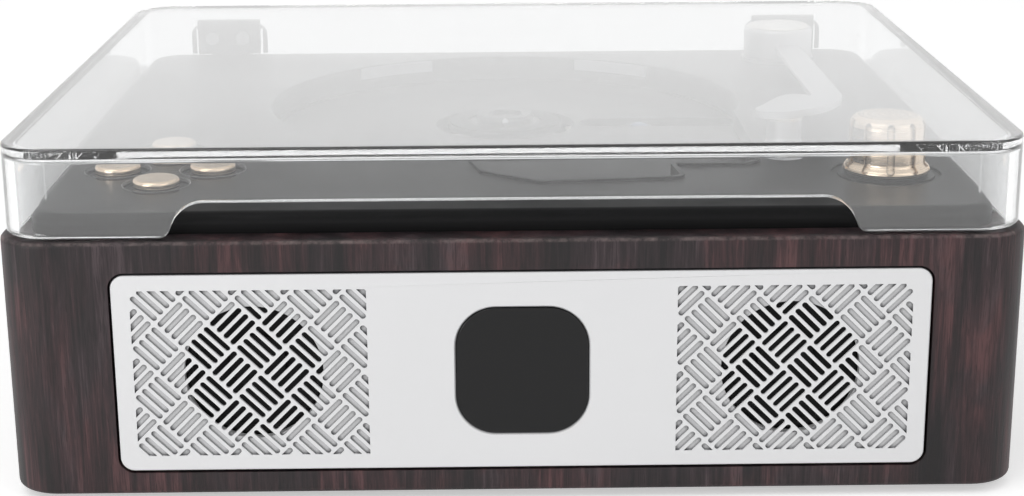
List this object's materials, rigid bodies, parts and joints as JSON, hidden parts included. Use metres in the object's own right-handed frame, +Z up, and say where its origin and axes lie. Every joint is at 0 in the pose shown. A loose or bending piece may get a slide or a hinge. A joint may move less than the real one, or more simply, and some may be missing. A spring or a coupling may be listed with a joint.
{
  "type": "desktop cd player",
  "caption": "Desktop disc player with wood-wrapped cabinet, front speakers, open disc well, tonearm, volume knob, buttons and a clear hinged dust cover.",
  "frame": {"origin": "centre of the footprint on the table, under the middle of the cabinet", "axes": "+X to the player's right as seen from the front, +Y to its rear, +Z up"},
  "size_m": [0.22, 0.19, 0.079],
  "materials": {
    "rosewood": "satin veneer, vertical grain",
    "block_wood": "bare softwood",
    "cover_plastic": "fine texture",
    "foot_rubber": "matt",
    "zinc_screw": "zinc plated",
    "panel_plastic": "matt, very light grey",
    "window_plastic": "smoked, polished",
    "board_green": "solder mask",
    "digit_plastic": "matt",
    "foam_gasket": "closed cell foam",
    "basket_steel": "stamped, black",
    "magnet_ferrite": "ferrite between steel plates",
    "cone_paper": "pressed paper with rubber edge",
    "deck_gloss": "polished black",
    "pad_grey": "soft, pale grey",
    "gold_anodised": "champagne gold, fine turned",
    "shaft_steel": "ground",
    "control_body": "stamped housing",
    "arm_silver": "satin silver",
    "bush_brass": "turned",
    "nylon_white": "moulded nylon",
    "switch_black": "moulded",
    "chassis_steel": "zinc coated sheet",
    "damper_rubber": "soft",
    "motor_case": "drawn can",
    "hub_black": "moulded",
    "ball_chrome": "polished",
    "mat_rubber": "fine grip",
    "sled_black": "glass-filled plastic",
    "lens_glass": "coated",
    "socket_steel": "plated",
    "clear_acrylic": "clear, polished",
    "hinge_dark": "black",
    "bumper_clear": "clear"
  },
  "bodies": {
    "player": {"cabinet": "rosewood", "corner_blocks": "block_wood", "bottom_cover": "cover_plastic", "feet": "foot_rubber", "long_screws": "zinc_screw", "small_screws": "zinc_screw", "front_panel": "panel_plastic", "display_window": "window_plastic", "display_board": "board_green", "display_digits": "digit_plastic", "speaker_gaskets": "foam_gasket", "speaker_baskets": "basket_steel", "speaker_magnets": "magnet_ferrite", "speaker_cones": "cone_paper", "top_deck": "deck_gloss", "disc_tray": "deck_gloss", "well_pads": "pad_grey", "button_board": "board_green", "volume_control": "control_body", "volume_nut": "zinc_screw", "tonearm_collar": "arm_silver", "tonearm_bush": "bush_brass", "tonearm_switch": "switch_black", "tonearm_rest": "arm_silver", "tonearm_rest_cap": "gold_anodised", "mechanism_chassis": "chassis_steel", "mechanism_dampers": "damper_rubber", "spindle_motor": "motor_case", "guide_rods": "shaft_steel", "feed_motor": "motor_case", "rear_panel": "cover_plastic", "main_board": "board_green", "usb_sockets": "socket_steel", "audio_socket": "switch_black", "power_switch": "socket_steel", "hinge_bases": "hinge_dark", "hinge_pins": "shaft_steel", "lid_bumpers": "bumper_clear"},
    "cover": {"dust_cover": "clear_acrylic", "hinge_leaves": "hinge_dark", "hinge_leaf_screws": "zinc_screw"},
    "knob": {"volume_knob": "gold_anodised", "volume_shaft": "shaft_steel"},
    "button_left": {"left_button": "gold_anodised"},
    "button_right": {"right_button": "gold_anodised"},
    "button_front": {"front_button": "gold_anodised"},
    "button_back": {"back_button": "gold_anodised"},
    "arm": {"tonearm_column": "arm_silver", "tonearm_cap": "gold_anodised", "tonearm": "arm_silver", "tonearm_shaft": "shaft_steel", "tonearm_cam": "nylon_white"},
    "hub": {"spindle_hub": "hub_black", "hub_balls": "ball_chrome", "disc_mat": "mat_rubber"},
    "pickup": {"pickup_sled": "sled_black", "pickup_lens": "lens_glass"},
    "gear": {"feed_gear": "nylon_white"},
    "pinion": {"feed_pinion": "nylon_white"},
    "slider": {"power_slider": "switch_black"}
  },
  "joints": [
    {"name": "cover_hinge", "type": "hinge", "parent": "player", "child": "cover", "pos_m": [0, 0.0932, 0.0622], "axis": [-1, 0, 0], "range_deg": [0, 68]},
    {"name": "volume_turn", "type": "hinge", "parent": "player", "child": "knob", "pos_m": [0.0852, -0.057, 0.068], "axis": [0, 0, 1], "range_deg": [-150, 150]},
    {"name": "left_press", "type": "slide", "parent": "player", "child": "button_left", "axis": [0, 0, -1], "range_m": [0, 0.0008], "stiffness_N_per_m": 1500, "springref_m": -0.0003},
    {"name": "right_press", "type": "slide", "parent": "player", "child": "button_right", "axis": [0, 0, -1], "range_m": [0, 0.0008], "stiffness_N_per_m": 1500, "springref_m": -0.0003},
    {"name": "front_press", "type": "slide", "parent": "player", "child": "button_front", "axis": [0, 0, -1], "range_m": [0, 0.0008], "stiffness_N_per_m": 1500, "springref_m": -0.0003},
    {"name": "back_press", "type": "slide", "parent": "player", "child": "button_back", "axis": [0, 0, -1], "range_m": [0, 0.0008], "stiffness_N_per_m": 1500, "springref_m": -0.0003},
    {"name": "arm_swing", "type": "hinge", "parent": "player", "child": "arm", "pos_m": [0.0786, 0.072, 0.068], "axis": [0, 0, 1], "range_deg": [-28, 0]},
    {"name": "disc_spin", "type": "hinge", "parent": "player", "child": "hub", "pos_m": [-0.001, 0.0175, 0.058], "axis": [0, 0, 1], "continuous": true},
    {"name": "pickup_travel", "type": "slide", "parent": "player", "child": "pickup", "axis": [1, 0, 0], "range_m": [-0.012, 0.0205]},
    {"name": "gear_turn", "type": "hinge", "parent": "player", "child": "gear", "pos_m": [0.024, 0.0489, 0.0474], "axis": [0, 0, 1], "range_deg": [-96, 164]},
    {"name": "pinion_turn", "type": "hinge", "parent": "player", "child": "pinion", "pos_m": [0.0336, 0.0489, 0.0474], "axis": [0, 0, 1], "range_deg": [-492, 288]},
    {"name": "power_slide", "type": "slide", "parent": "player", "child": "slider", "axis": [1, 0, 0], "range_m": [0, 0.002]}
  ],
  "couplings": [
    {"joint": "gear_turn", "follows": "pickup_travel", "rad_per_m": 138.89},
    {"joint": "pinion_turn", "follows": "pickup_travel", "rad_per_m": -416.67}
  ]
}
